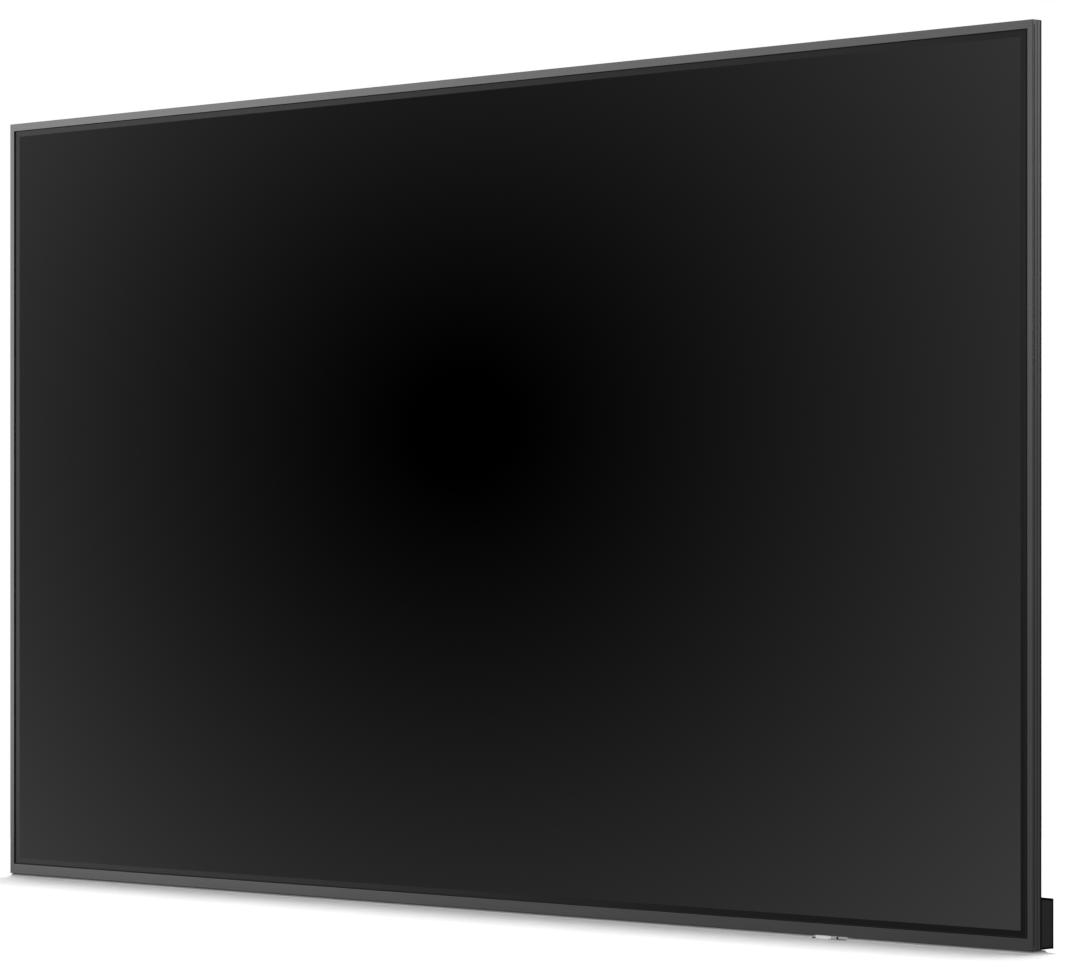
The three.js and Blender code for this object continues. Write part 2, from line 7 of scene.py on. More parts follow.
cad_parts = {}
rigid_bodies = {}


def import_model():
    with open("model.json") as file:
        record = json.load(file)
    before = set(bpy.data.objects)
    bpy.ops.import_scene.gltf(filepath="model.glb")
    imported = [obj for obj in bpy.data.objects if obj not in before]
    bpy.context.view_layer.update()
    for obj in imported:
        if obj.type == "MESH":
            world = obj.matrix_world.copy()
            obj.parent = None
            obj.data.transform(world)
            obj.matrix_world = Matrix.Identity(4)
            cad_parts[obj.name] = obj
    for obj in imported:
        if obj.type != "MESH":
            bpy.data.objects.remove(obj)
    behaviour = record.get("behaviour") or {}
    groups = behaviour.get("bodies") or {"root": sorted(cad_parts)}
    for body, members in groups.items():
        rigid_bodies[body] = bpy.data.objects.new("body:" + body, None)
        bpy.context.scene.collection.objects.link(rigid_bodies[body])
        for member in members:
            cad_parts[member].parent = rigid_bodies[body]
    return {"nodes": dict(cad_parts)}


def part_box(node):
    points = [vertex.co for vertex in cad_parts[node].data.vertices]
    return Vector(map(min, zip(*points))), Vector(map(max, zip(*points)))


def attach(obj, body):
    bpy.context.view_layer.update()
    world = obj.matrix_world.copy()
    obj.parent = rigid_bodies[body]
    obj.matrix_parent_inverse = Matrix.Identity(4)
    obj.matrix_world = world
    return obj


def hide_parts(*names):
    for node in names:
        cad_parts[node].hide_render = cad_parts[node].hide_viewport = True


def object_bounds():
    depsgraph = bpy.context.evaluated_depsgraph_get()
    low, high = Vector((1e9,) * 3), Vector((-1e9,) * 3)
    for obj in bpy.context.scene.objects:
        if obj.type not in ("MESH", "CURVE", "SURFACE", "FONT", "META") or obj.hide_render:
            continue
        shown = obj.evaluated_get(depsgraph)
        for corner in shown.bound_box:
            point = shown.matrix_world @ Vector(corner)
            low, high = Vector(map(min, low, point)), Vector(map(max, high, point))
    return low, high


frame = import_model()
CAD_LO, CAD_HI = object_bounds()
NODES = frame["nodes"]
BODY = "display"

# ------------------------------------------------------------------ driving positions, from the CAD
def bx(name):
    lo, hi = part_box(name)
    return Vector(lo), Vector(hi)

R_LO, R_HI = bx("bezel_right")
L_LO, L_HI = bx("bezel_left")
T_LO, T_HI = bx("bezel_top")
B_LO, B_HI = bx("bezel_bottom")
X = R_HI.x                     # half width
ZT, ZB = T_HI.z, B_LO.z        # outer top and bottom
FRONT = R_LO.y                 # front plane
FACE_S = R_HI.x - R_LO.x       # widths of the frame's front face
FACE_T = T_HI.z - T_LO.z
FACE_B = B_HI.z - B_LO.z
EDGE = R_HI.y - R_LO.y
MM = 0.001


def Y(d):
    """depth behind the front plane, in mm, to Y in metres"""
    return FRONT + d * MM


# ------------------------------------------------------------------ materials
def _n(nt, kind, **kw):
    node = nt.nodes.new(kind)
    for k, v in kw.items():
        setattr(node, k, v)
    return node


def _math(nt, op, a, b=None, c=None, clamp=False):
    node = nt.nodes.new("ShaderNodeMath")
    node.operation = op
    node.use_clamp = clamp
    for i, v in enumerate((a, b, c)):
        if v is None:
            continue
        if isinstance(v, (int, float)):
            node.inputs[i].default_value = v
        else:
            nt.links.new(v, node.inputs[i])
    return node.outputs[0]


def _maprange(nt, v, a, b, c, d):
    node = nt.nodes.new("ShaderNodeMapRange")
    nt.links.new(v, node.inputs["Value"])
    for k, x in (("From Min", a), ("From Max", b), ("To Min", c), ("To Max", d)):
        node.inputs[k].default_value = x
    return node.outputs["Result"]


def _noise(nt, vec, scale, detail=3.0, rough=0.55):
    node = nt.nodes.new("ShaderNodeTexNoise")
    node.inputs["Scale"].default_value = scale
    node.inputs["Detail"].default_value = detail
    node.inputs["Roughness"].default_value = rough
    nt.links.new(vec, node.inputs["Vector"])
    return node.outputs["Fac"]


def material(name, color, rough, metallic=0.0, spec=0.5, tint=0.12, tint_scale=5.0,
             grain=(900, 900, 900), grain_scale=1.0, grain_tint=0.10, rough_var=0.08,
             bump=0.15, bump_mm=0.05, speck=0.0, speck_scale=400.0, scuff=0.0, coat=0.0,
             coat_rough=0.1, transmission=0.0, ior=1.5, emission=0.0, painted_light_lift=0.0):
    """A procedural finish: broad tone variation, fine directional grain, uneven roughness,
    relief from the same grain, and optional light specks and rubbed patches; also, as painted light, an optional paler
    lower left and an optional glow."""
    m = bpy.data.materials.new(name)
    m.use_nodes = True
    nt = m.node_tree
    bsdf = nt.nodes["Principled BSDF"]
    co = _n(nt, "ShaderNodeTexCoord").outputs["Object"]
    mp = _n(nt, "ShaderNodeMapping")
    mp.inputs["Scale"].default_value = grain
    nt.links.new(co, mp.inputs["Vector"])
    fine = _noise(nt, mp.outputs["Vector"], grain_scale, 4.0, 0.6)
    broad = _noise(nt, co, tint_scale, 3.0, 0.5)
    # colour = colour * (1 + tint*(broad-.5)*2 + grain_tint*(fine-.5)*2)
    a = _math(nt, "MULTIPLY_ADD", broad, 2 * tint, 1.0 - tint)
    b = _math(nt, "MULTIPLY_ADD", fine, 2 * grain_tint, -grain_tint)
    k = _math(nt, "ADD", a, b)
    if speck:
        vo = _n(nt, "ShaderNodeTexVoronoi")
        vo.inputs["Scale"].default_value = speck_scale
        nt.links.new(co, vo.inputs["Vector"])
        s = _maprange(nt, vo.outputs["Distance"], 0.10, 0.22, speck, 0.0)
        k = _math(nt, "ADD", k, s)
    if painted_light_lift:                       # painted light: the base colour grows paler towards the lower left, standing in for the light the glass border catches there
        se = _n(nt, "ShaderNodeSeparateXYZ")
        nt.links.new(co, se.inputs[0])
        lx = _maprange(nt, se.outputs["X"], 0.45, -0.95, 0.0, painted_light_lift)
        lz = _maprange(nt, se.outputs["Z"], 0.25, -0.52, 0.0, 1.0)
        k = _math(nt, "ADD", k, _math(nt, "MULTIPLY", lx, lz))
    if scuff:
        sc = _noise(nt, co, 14.0, 6.0, 0.75)
        s = _maprange(nt, sc, 0.60, 0.74, 0.0, scuff)
        k = _math(nt, "ADD", k, s)
    vm = _n(nt, "ShaderNodeVectorMath", operation="SCALE")
    vm.inputs[0].default_value = color
    nt.links.new(k, vm.inputs["Scale"])
    nt.links.new(vm.outputs["Vector"], bsdf.inputs["Base Color"])
    r = _math(nt, "MULTIPLY_ADD", fine, 2 * rough_var, rough - rough_var)
    if scuff:
        r = _math(nt, "ADD", r, _math(nt, "MULTIPLY", s, 0.3))
    r2 = _math(nt, "MULTIPLY_ADD", broad, rough_var, -rough_var * 0.5)
    r = _math(nt, "ADD", r, r2, clamp=True)
    nt.links.new(r, bsdf.inputs["Roughness"])
    bsdf.inputs["Metallic"].default_value = metallic
    bsdf.inputs["Specular IOR Level"].default_value = spec
    bsdf.inputs["IOR"].default_value = ior
    bsdf.inputs["Coat Weight"].default_value = coat
    bsdf.inputs["Coat Roughness"].default_value = coat_rough
    bsdf.inputs["Transmission Weight"].default_value = transmission
    if emission:
        bsdf.inputs["Emission Color"].default_value = (*color, 1)
        bsdf.inputs["Emission Strength"].default_value = emission
    bp = _n(nt, "ShaderNodeBump")
    bp.inputs["Strength"].default_value = bump
    bp.inputs["Distance"].default_value = bump_mm * MM
    nt.links.new(fine, bp.inputs["Height"])
    nt.links.new(bp.outputs["Normal"], bsdf.inputs["Normal"])
    return m


def grey(v):
    """sRGB 0-255 to linear"""
    s = v / 255
    return s / 12.92 if s <= 0.04045 else ((s + 0.055) / 1.055) ** 2.4


FRAME_BASE = (0.1172, 0.1172, 0.1174)
M = {}
M["frame_x"] = material("anodised_frame_x", FRAME_BASE, 0.33, metallic=1.0, tint=0.05, grain=(14, 900, 1500),
                        grain_tint=0.10, rough_var=0.05, bump=0.12, bump_mm=0.02, scuff=0.05)
M["frame_z"] = material("anodised_frame_z", FRAME_BASE, 0.33, metallic=1.0, tint=0.05, grain=(1500, 900, 14),
                        grain_tint=0.10, rough_var=0.05, bump=0.12, bump_mm=0.02, scuff=0.05)
# painted shade: a darker copy of the frame metal, for the groove runs where shade falls
M["frame_dark"] = material("anodised_painted_shade", tuple(c * 0.70 for c in FRAME_BASE), 0.5, metallic=1.0, tint=0.05, grain=(900, 900, 900), bump=0.1)
M["rear_lip"] = material("rear_lip_black", (0.009, 0.009, 0.0093), 0.6, spec=0.12)
M["bracket"] = material("zinc_bracket", (0.42, 0.43, 0.44), 0.42, metallic=1.0, speck=0.15)
M["rubber"] = material("seal_rubber", (0.011, 0.011, 0.0113), 0.6, spec=0.20, bump=0.2)
# painted light in the border's base colour: paler towards the lower left
M["border"] = material("black_glass", (0.0060, 0.0060, 0.0062), 0.32, spec=0.205, painted_light_lift=11.0, tint=0.25, tint_scale=3,
                       grain=(300, 300, 300), rough_var=0.05, grain_tint=0.05, bump=0.02, bump_mm=0.01)
M["plastic"] = material("moulded_black", (0.012, 0.012, 0.0125), 0.55, spec=0.3, grain=(1800, 1800, 1800), bump=0.35, bump_mm=0.04)
M["film"] = material("optical_film", (0.72, 0.75, 0.78), 0.35, grain=(10, 600, 2500))
M["diffuser"] = material("diffuser_sheet", (0.86, 0.87, 0.86), 0.55)
M["reflector"] = material("reflector_sheet_white", (0.9, 0.9, 0.89), 0.65)
M["led_board"] = material("led_strip", (0.74, 0.75, 0.70), 0.5)
M["chassis"] = material("galvanised_steel", (0.42, 0.43, 0.44), 0.40, metallic=1.0, tint=0.2, tint_scale=60, speck=0.1, speck_scale=150)
M["board"] = material("solder_mask_green", (0.012, 0.075, 0.03), 0.35, spec=0.5, coat=0.3, tint=0.3, tint_scale=90)
M["connector"] = material("plated_shell", (0.45, 0.455, 0.46), 0.28, metallic=1.0, rough_var=0.1)
M["contact"] = material("gold_contact", (0.80, 0.56, 0.22), 0.25, metallic=1.0)
M["port_plate"] = material("plate_coated", (0.020, 0.0205, 0.021), 0.5, metallic=0.3, grain=(2200, 2200, 2200), bump=0.25)
M["cover"] = material("powder_coat_black", (0.0165, 0.0168, 0.0178), 0.42, metallic=0.0, spec=0.5, tint=0.10,
                      grain=(1500, 1500, 1500), grain_tint=0.18, rough_var=0.10, bump=0.5, bump_mm=0.07, scuff=0.25)
M["rail"] = material("painted_steel", (0.040, 0.041, 0.043), 0.44, metallic=0.35, spec=0.5, tint=0.10,
                     grain=(1200, 1200, 1200), grain_tint=0.12, bump=0.35, bump_mm=0.05, scuff=0.35)
M["inlet"] = material("inlet_black", (0.010, 0.010, 0.010), 0.38, spec=0.4, bump=0.2)
M["key"] = material("key_black", (0.016, 0.016, 0.017), 0.42, spec=0.45, bump=0.25)
M["pod"] = material("pod_black", (0.0190, 0.0190, 0.0195), 0.55, spec=0.22, tint=0.08, grain=(1600, 1600, 1600),
                    grain_tint=0.15, bump=0.4, bump_mm=0.05, scuff=0.1)
# painted shade: matt black with no specular, for the pod's top and edges that lie in shade
M["pod_edge"] = material("pod_edge_black", (0.005, 0.005, 0.0052), 0.8, spec=0.0, grain=(1600, 1600, 1600), bump=0.2)
# painted light: the receiver window and the indicator strip glow, standing in for the light these clear parts catch
M["lens"] = material("clear_window", (0.86, 0.87, 0.88), 0.18, spec=0.5, tint=0.05, bump=0.05, coat=0.4, emission=0.42)
M["lens_dim"] = material("clear_window_dim", (0.66, 0.67, 0.68), 0.22, spec=0.5, tint=0.08, bump=0.05, coat=0.4, emission=0.30)
M["speaker"] = material("speaker_black", (0.010, 0.010, 0.011), 0.6, spec=0.3)
M["handle"] = material("handle_coated", (0.035, 0.036, 0.038), 0.36, metallic=0.4, spec=0.5, tint=0.1,
                       grain=(1500, 1500, 1500), bump=0.3, bump_mm=0.04, scuff=0.5)
M["screw"] = material("screw_zinc_black", (0.10, 0.10, 0.105), 0.34, metallic=1.0, tint=0.2, tint_scale=300, rough_var=0.12)

AMBIENT = 0.275          # what a white matt surface returns on the front, in this light


def picture_material():
    """The switched-off picture area: matt black, with painted light in its base colour, which rises softly towards the
    edges.
    """
    m = bpy.data.materials.new("picture_area")
    m.use_nodes = True
    nt = m.node_tree
    bsdf = nt.nodes["Principled BSDF"]
    co = _n(nt, "ShaderNodeTexCoord").outputs["Object"]
    sep = _n(nt, "ShaderNodeSeparateXYZ")
    nt.links.new(co, sep.inputs[0])
    H = (ZT - ZB)
    # painted light: the grey level wanted at each point rises from near the centre towards the edges; divided by
    # AMBIENT below, it becomes the albedo
    dx = _math(nt, "MULTIPLY_ADD", sep.outputs["X"], 1 / H, 0.0067 / H)
    dz = _math(nt, "MULTIPLY_ADD", sep.outputs["Z"], 1.381 / H, -0.0909 * 1.381 / H)
    r2 = _math(nt, "ADD", _math(nt, "MULTIPLY", dx, dx), _math(nt, "MULTIPLY", dz, dz))
    r = _math(nt, "SQRT", r2)
    s = _math(nt, "ADD", _math(nt, "MULTIPLY_ADD", r, 55.36, -4.86), _math(nt, "MULTIPLY", r2, -1.63))
    # fine, even grain of the anti-glare surface
    mp = _n(nt, "ShaderNodeMapping")
    mp.inputs["Scale"].default_value = (1, 1, 1)
    nt.links.new(co, mp.inputs["Vector"])
    g = _noise(nt, mp.outputs["Vector"], 700.0, 2.0, 0.5)
    s = _math(nt, "ADD", s, _math(nt, "MULTIPLY_ADD", g, 1.6, -0.8))
    s = _math(nt, "DIVIDE", _math(nt, "MAXIMUM", s, 0.0), 255.0)
    low = _math(nt, "DIVIDE", s, 12.92)
    high = _math(nt, "POWER", _math(nt, "DIVIDE", _math(nt, "ADD", s, 0.055), 1.055), 2.4)
    pick = _math(nt, "GREATER_THAN", s, 0.04045)
    lin = _math(nt, "ADD", _math(nt, "MULTIPLY", high, pick), _math(nt, "MULTIPLY", low, _math(nt, "SUBTRACT", 1.0, pick)))
    alb = _math(nt, "DIVIDE", lin, AMBIENT)
    vm = _n(nt, "ShaderNodeVectorMath", operation="SCALE")
    vm.inputs[0].default_value = (1.0, 0.998, 1.0)
    nt.links.new(alb, vm.inputs["Scale"])
    nt.links.new(vm.outputs["Vector"], bsdf.inputs["Base Color"])
    nt.links.new(_math(nt, "MULTIPLY_ADD", g, 0.1, 0.85), bsdf.inputs["Roughness"])
    bsdf.inputs["Specular IOR Level"].default_value = 0.0
    bp = _n(nt, "ShaderNodeBump")
    bp.inputs["Strength"].default_value = 0.1
    bp.inputs["Distance"].default_value = 0.00002
    nt.links.new(g, bp.inputs["Height"])
    nt.links.new(bp.outputs["Normal"], bsdf.inputs["Normal"])
    return m


M["picture"] = picture_material()


# ------------------------------------------------------------------ mesh helpers
def finish_piece(name, bm, mat, body=BODY, replaces=(), angle=35, weld=True):
    if weld:
        bmesh.ops.remove_doubles(bm, verts=bm.verts, dist=1e-6)
    bmesh.ops.recalc_face_normals(bm, faces=bm.faces)
    me = bpy.data.meshes.new(name)
    bm.to_mesh(me)
    bm.free()
    me.shade_smooth()
    me.set_sharp_from_angle(angle=math.radians(angle))
    o = bpy.data.objects.new(name, me)
    bpy.context.scene.collection.objects.link(o)
    for m in (mat if isinstance(mat, (list, tuple)) else [mat]):
        me.materials.append(m)
    wn = o.modifiers.new("even_normals", "WEIGHTED_NORMAL")
    wn.keep_sharp = True
    wn.weight = 90
    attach(o, body)
    if replaces:
        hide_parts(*replaces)
    return o


def loft(bm, rings, closed=True, caps=True):
    """joins rings of points, each ring closed"""
    vs = [[bm.verts.new(p) for p in ring] for ring in rings]
    n = len(vs[0])
    for a, b in zip(vs, vs[1:]):
        for i in range(n if closed else n - 1):
            j = (i + 1) % n
            bm.faces.new((a[i], a[j], b[j], b[i]))
    if caps:
        bm.faces.new(vs[0][::-1])
        bm.faces.new(vs[-1])
    return vs


def rbox(bm, x0, x1, y0, y1, z0, z1, r=0.0005, seg=2):
    """a box in metres with rounded edges, added to bm"""
    t = bmesh.new()
    bmesh.ops.create_cube(t, size=1.0)
    for v in t.verts:
        v.co = Vector((x0 + (v.co.x + 0.5) * (x1 - x0), y0 + (v.co.y + 0.5) * (y1 - y0), z0 + (v.co.z + 0.5) * (z1 - z0)))
    if r:
        r = min(r, 0.49 * min(x1 - x0, y1 - y0, z1 - z0))
        bmesh.ops.bevel(t, geom=list(t.edges), offset=r, segments=seg, profile=0.5, affect="EDGES", clamp_overlap=True)
    merge(bm, t)


def merge(bm, other, matrix=None):
    if matrix is not None:
        other.transform(matrix)
    me = bpy.data.meshes.new("tmp")
    other.to_mesh(me)
    other.free()
    bm.from_mesh(me)
    bpy.data.meshes.remove(me)


def mmbox(bm, x0, x1, d0, d1, z0, z1, r=0.5, seg=2):
    rbox(bm, x0 * MM, x1 * MM, Y(d0), Y(d1), z0 * MM, z1 * MM, r * MM, seg)


# ------------------------------------------------------------------ outer frame, four mitred extrusions
def section(face):
    """(distance in from the outer edge, depth, shade) in mm, round the extrusion; the shade belongs to
    the run from this point to the next: 0 metal, 1 groove in darker metal as painted shade, 2 black rear lip"""
    e = EDGE / MM
    return [
        (face - 0.32, 0.0, 0), (0.55, 0.0, 0), (0.34, 0.04, 0), (0.16, 0.15, 0), (0.04, 0.32, 0), (0.0, 0.5, 0),
        (0.0, 0.6, 1), (0.28, 0.8, 1), (0.28, 3.3, 1), (0.05, 3.7, 0),
        (0.0, 3.9, 0), (0.0, 7.7, 0), (0.25, 7.95, 1), (0.25, 8.7, 0), (0.0, 8.95, 0),
        (0.0, e - 2.6, 0), (0.1, e - 2.45, 2), (0.45, e - 2.35, 2), (0.45, e - 2.0, 2), (0.1, e - 1.85, 2), (0.1, e + 0.4, 2), (0.35, e + 0.7, 2),
        (3.1, e + 0.7, 2), (3.4, e + 0.4, 2), (3.45, e + 0.06, 2),
        (8.2, e, 2), (8.4, e - 0.2, 2), (8.4, e - 1.35, 2), (8.2, e - 1.5, 2), (1.8, e - 1.5, 2), (1.6, e - 1.7, 0),
        (1.6, 1.2, 0), (1.8, 1.0, 0), (face - 0.1, 1.0, 0), (face, 0.9, 0), (face, 0.32, 0), (face - 0.09, 0.09, 0),
    ]


GAPM = 0.00006
RISE = 0.0008                  # the bottom strip stands this much above its envelope


def strip(name, side):
    fl, fr, ft, fb = FACE_S / MM + 0.6, FACE_S / MM - 0.15, FACE_T / MM + 0.4, (FACE_B - RISE) / MM
    fs = fr if side == "R" else fl
    zb = ZB + RISE
    bm = bmesh.new()
    if side in "LR":
        sgn = 1 if side == "R" else -1
        pr = section(fs)
        lo = [(sgn * (X - u * MM), Y(d), zb + u * MM * fb / fs + GAPM) for u, d, _ in pr]
        hi = [(sgn * (X - u * MM), Y(d), ZT - u * MM * ft / fs - GAPM) for u, d, _ in pr]
        n = 12
        rings = [[tuple(Vector(a).lerp(Vector(b), i / n)) for a, b in zip(lo, hi)] for i in range(n + 1)]
    else:
        f = ft if side == "T" else fb
        pr = section(f)
        z = (lambda u: ZT - u * MM) if side == "T" else (lambda u: zb + u * MM)
        lo = [(-X + u * MM * fl / f + GAPM, Y(d), z(u)) for u, d, _ in pr]
        hi = [(X - u * MM * fr / f - GAPM, Y(d), z(u)) for u, d, _ in pr]
        n = 20
        rings = [[tuple(Vector(a).lerp(Vector(b), i / n)) for a, b in zip(lo, hi)] for i in range(n + 1)]
    vs = loft(bm, rings)
    at = {}
    for row in vs:
        for i, v in enumerate(row):
            at[v] = i
    k = len(pr)
    for f in bm.faces:
        ids = sorted(set(at[v] for v in f.verts))
        if len(ids) == 2:
            i = ids[0] if ids[1] - ids[0] == 1 else ids[1]
            f.material_index = pr[i][2]
    if side in "LR":                      # the top and bottom strips' ends close the side groove at the corners
        for z0, z1 in ((ZT - 0.0057, ZT - 0.0004), (zb + 0.0004, zb + 0.0046)):
            xa, xb = sorted((sgn * (X - 0.0007), sgn * (X - 0.00003)))
            rbox(bm, xa, xb, Y(0.62), Y(4.0), z0, z1, 0.00008, 1)
        # painted shade: a thin box in the darker groove metal along the top end of each side strip, standing in for the
        # shade on the top face's edge
        count = len(bm.faces)
        xa, xb = sorted((sgn * (X - 0.0007), sgn * (X + 0.00002)))
        rbox(bm, xa, xb, Y(0.7), Y(EDGE / MM - 2.5), ZT - 0.0017, ZT - 0.0002, 0.0001, 1)
        bm.faces.ensure_lookup_table()
        for i in range(count, len(bm.faces)):
            bm.faces[i].material_index = 1
    mat = [M["frame_z"] if side in "LR" else M["frame_x"], M["frame_dark"], M["rear_lip"]]
    node = {"L": "bezel_left", "R": "bezel_right", "T": "bezel_top", "B": "bezel_bottom"}[side]
    return finish_piece(name, bm, mat, replaces=(node,), angle=28)


strip("frame_strip_left", "L")
strip("frame_strip_right", "R")
strip("frame_strip_top", "T")
strip("frame_strip_bottom", "B")

# ------------------------------------------------------------------ seal, glass and picture area
G_LO, G_HI = bx("front_gasket")


def rect_ring(bm, outer, inner, section_pts):
    """a mitred ring between two rectangles; section_pts are (0 outer .. 1 inner, y)"""
    rings = []
    for cx, cz in ((0, 0), (1, 0), (1, 1), (0, 1)):
        ring = []
        for t, y in section_pts:
            x0 = outer[0] + (inner[0] - outer[0]) * t
            x1 = outer[1] + (inner[1] - outer[1]) * t
            z0 = outer[2] + (inner[2] - outer[2]) * t
            z1 = outer[3] + (inner[3] - outer[3]) * t
            ring.append((x1 if cx else x0, y, z1 if cz else z0))
        rings.append(ring)
    rings.append(rings[0])
    loft(bm, rings, caps=False)


bm = bmesh.new()
lipx = X - FACE_S
show_l, show_r, show_t, show_b = 2.7 * MM, 4.3 * MM, 1.4 * MM, 2.0 * MM
rect_ring(bm, (G_LO.x, G_HI.x, G_LO.z, G_HI.z),
          (-lipx + show_l, lipx - show_r, ZB + FACE_B + show_b, ZT - FACE_T - show_t),
          [(0, Y(1.15)), (0.55, Y(1.12)), (0.72, Y(0.75)), (0.9, Y(0.85)), (1.0, Y(1.3)), (0.97, Y(1.6)), (0, Y(1.6))])
finish_piece("screen_seal", bm, M["rubber"], replaces=("front_gasket",), angle=30)

P_LO, P_HI = bx("lcd_panel")
bm = bmesh.new()
rbox(bm, P_LO.x, P_HI.x, P_LO.y, P_HI.y, P_LO.z, P_HI.z, 0.0003, 2)
finish_piece("panel_glass", bm, M["border"], replaces=("lcd_panel",))

AREA = (-0.9475, 0.9475, -0.5306, 0.5355)
# a thin sheet in front of the glass that carries the picture material's painted light
bm = bmesh.new()
rbox(bm, AREA[0], AREA[1], P_LO.y - 0.00010, P_LO.y + 0.0002, AREA[2], AREA[3], 0.00004, 2)
finish_piece("picture_area_sheet", bm, M["picture"])

# ------------------------------------------------------------------ receiver module under the bottom edge
H_LO, H_HI = bx("sensor_housing")
W_LO, W_HI = bx("sensor_window")
I_LO, I_HI = bx("indicator_light_guide")
bm = bmesh.new()
rbox(bm, H_LO.x, H_HI.x, H_LO.y + 0.0045, H_HI.y, ZB - 0.0010, ZB + 0.0001, 0.0003)          # top plate
rbox(bm, H_LO.x, H_LO.x + 0.0013, H_LO.y, H_HI.y, H_LO.z + 0.0002, ZB - 0.0004, 0.0004)
rbox(bm, H_HI.x - 0.0008, H_HI.x, H_LO.y + 0.007, H_HI.y, H_LO.z + 0.0002, ZB - 0.0004, 0.0003)
rbox(bm, I_LO.x - 0.0015, I_LO.x + 0.0002, I_LO.y + 0.0010, H_HI.y, H_LO.z - 0.0002, ZB - 0.0004, 0.0003)
rbox(bm, H_LO.x + 0.0005, H_HI.x - 0.0005, H_HI.y - 0.0035, H_HI.y - 0.0002, H_LO.z + 0.0003, ZB - 0.0004, 0.0004)
finish_piece("receiver_housing", bm, M["pod"], replaces=("sensor_housing",))
bm = bmesh.new()
rbox(bm, W_LO.x, W_HI.x, W_LO.y, H_LO.y + 0.0040, W_LO.z - 0.0002, ZB + 0.0001, 0.0005, 3)
finish_piece("receiver_window", bm, M["lens"], replaces=("sensor_window",))
# painted light: the indicator strip and the block between it and the window glow as well
bm = bmesh.new()
rbox(bm, I_LO.x + 0.0004, I_HI.x, I_LO.y + 0.0022, H_LO.y + 0.0043, I_LO.z + 0.0006, ZB + 0.0001, 0.0005, 3)
rbox(bm, W_HI.x + 0.0022, I_LO.x - 0.0017, I_LO.y + 0.0016, H_LO.y + 0.0043, I_LO.z + 0.0004, ZB + 0.0001, 0.0005, 3)
finish_piece("indicator_light", bm, M["lens_dim"], replaces=("indicator_light_guide",))

# ------------------------------------------------------------------ pressed sheet, as a height over an (x, z) grid
def lines(*groups):
    out = sorted(set(round(v, 3) for g in groups for v in g))
    keep = [out[0]]
    for v in out[1:]:
        if v - keep[-1] > 0.35:
            keep.append(v)
    return keep


def bead(x, z, x0, z0, x1, z1, w, h):
    """a pressed bead with round ends between two points, w its half width"""
    dx, dz = x1 - x0, z1 - z0
    t = max(0.0, min(1.0, ((x - x0) * dx + (z - z0) * dz) / (dx * dx + dz * dz)))
    r = math.hypot(x - x0 - t * dx, z - z0 - t * dz) / w
    if r >= 1:
        return 0.0
    k = 1 - r * r
    return h * k * k * (3 - 2 * k)


def soft(t, b=0.1):
    """0 below 0, 1 above 1, with rounded shoulders"""
    def ramp(v):
        if v <= -b:
            return 0.0
        if v >= b:
            return v
        return (v + b) ** 2 / (4 * b)
    return ramp(t) - ramp(t - 1)


def pressed(name, xs, zs, height, keep, mat, thick, replaces=(), angle=32):
    bm = bmesh.new()
    g = [[bm.verts.new((x * MM, Y(height(x, z)), z * MM)) for z in zs] for x in xs]
    for i in range(len(xs) - 1):
        for j in range(len(zs) - 1):
            if keep((xs[i] + xs[i + 1]) / 2, (zs[j] + zs[j + 1]) / 2):
                bm.faces.new((g[i][j], g[i][j + 1], g[i + 1][j + 1], g[i + 1][j]))
    for v in [v for v in bm.verts if not v.link_faces]:
        bm.verts.remove(v)
    me = bpy.data.meshes.new(name)
    bm.to_mesh(me)
    bm.free()
    me.shade_smooth()
    me.set_sharp_from_angle(angle=math.radians(angle))
    me.materials.append(mat)
    o = bpy.data.objects.new(name, me)
    bpy.context.scene.collection.objects.link(o)
    so = o.modifiers.new("sheet", "SOLIDIFY")
    so.thickness = thick * MM
    so.offset = -1.0
    wn = o.modifiers.new("even_normals", "WEIGHTED_NORMAL")
    wn.keep_sharp = True
    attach(o, BODY)
    if replaces:
        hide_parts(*replaces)
    return o


fine = [-8, -6, -4, -2, 0, 2, 4, 6, 8]
T_LINES = [-0.12, -0.06, 0, 0.06, 0.12, 0.3, 0.5, 0.7, 0.88, 0.94, 1.0, 1.06, 1.12]
C_LO, C_HI = bx("rear_cover")
RX, RZ = 954.0, 541.0
H_BEADS = [(z, x0, x1) for z in (335, 395, 455, -400, -455) for x0, x1 in ((-540, -40), (40, 540))]
V_BEADS = [(x, z0, z1) for x in (-845, -675, 675, 845) for z0, z1 in ((-420, -30), (30, 420))]
PODX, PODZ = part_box("control_pod")[0][0] / MM - 0.4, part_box("control_pod")[1][2] / MM + 0.4
WINDOW = (-578.0, 578.0, -326.0, 258.0)
LOUVRE_X = [x for x in range(-500, 501, 50)]


def pan_height(x, z):
    t = min((RX - abs(x)) / 49.0, (RZ - abs(z)) / 49.0)
    h = max(17.9, 16.4 + 13.6 * soft(t, 0.05))
    for bz, x0, x1 in H_BEADS:
        if abs(z - bz) < 9:
            h += bead(x, z, x0, bz, x1, bz, 7.5, 1.7)
    for bx_, z0, z1 in V_BEADS:
        if abs(x - bx_) < 9:
            h += bead(x, z, bx_, z0, bx_, z1, 7.5, 1.7)
    return h


def pan_keep(x, z):
    if WINDOW[0] < x < WINDOW[1] and WINDOW[2] < z < WINDOW[3]:
        return False
    if x > PODX and z < PODZ:
        return False
    for cx in LOUVRE_X:
        if abs(x - cx) < 18 and (423 < z < 427 or 363 < z < 367):
            return False
    return True


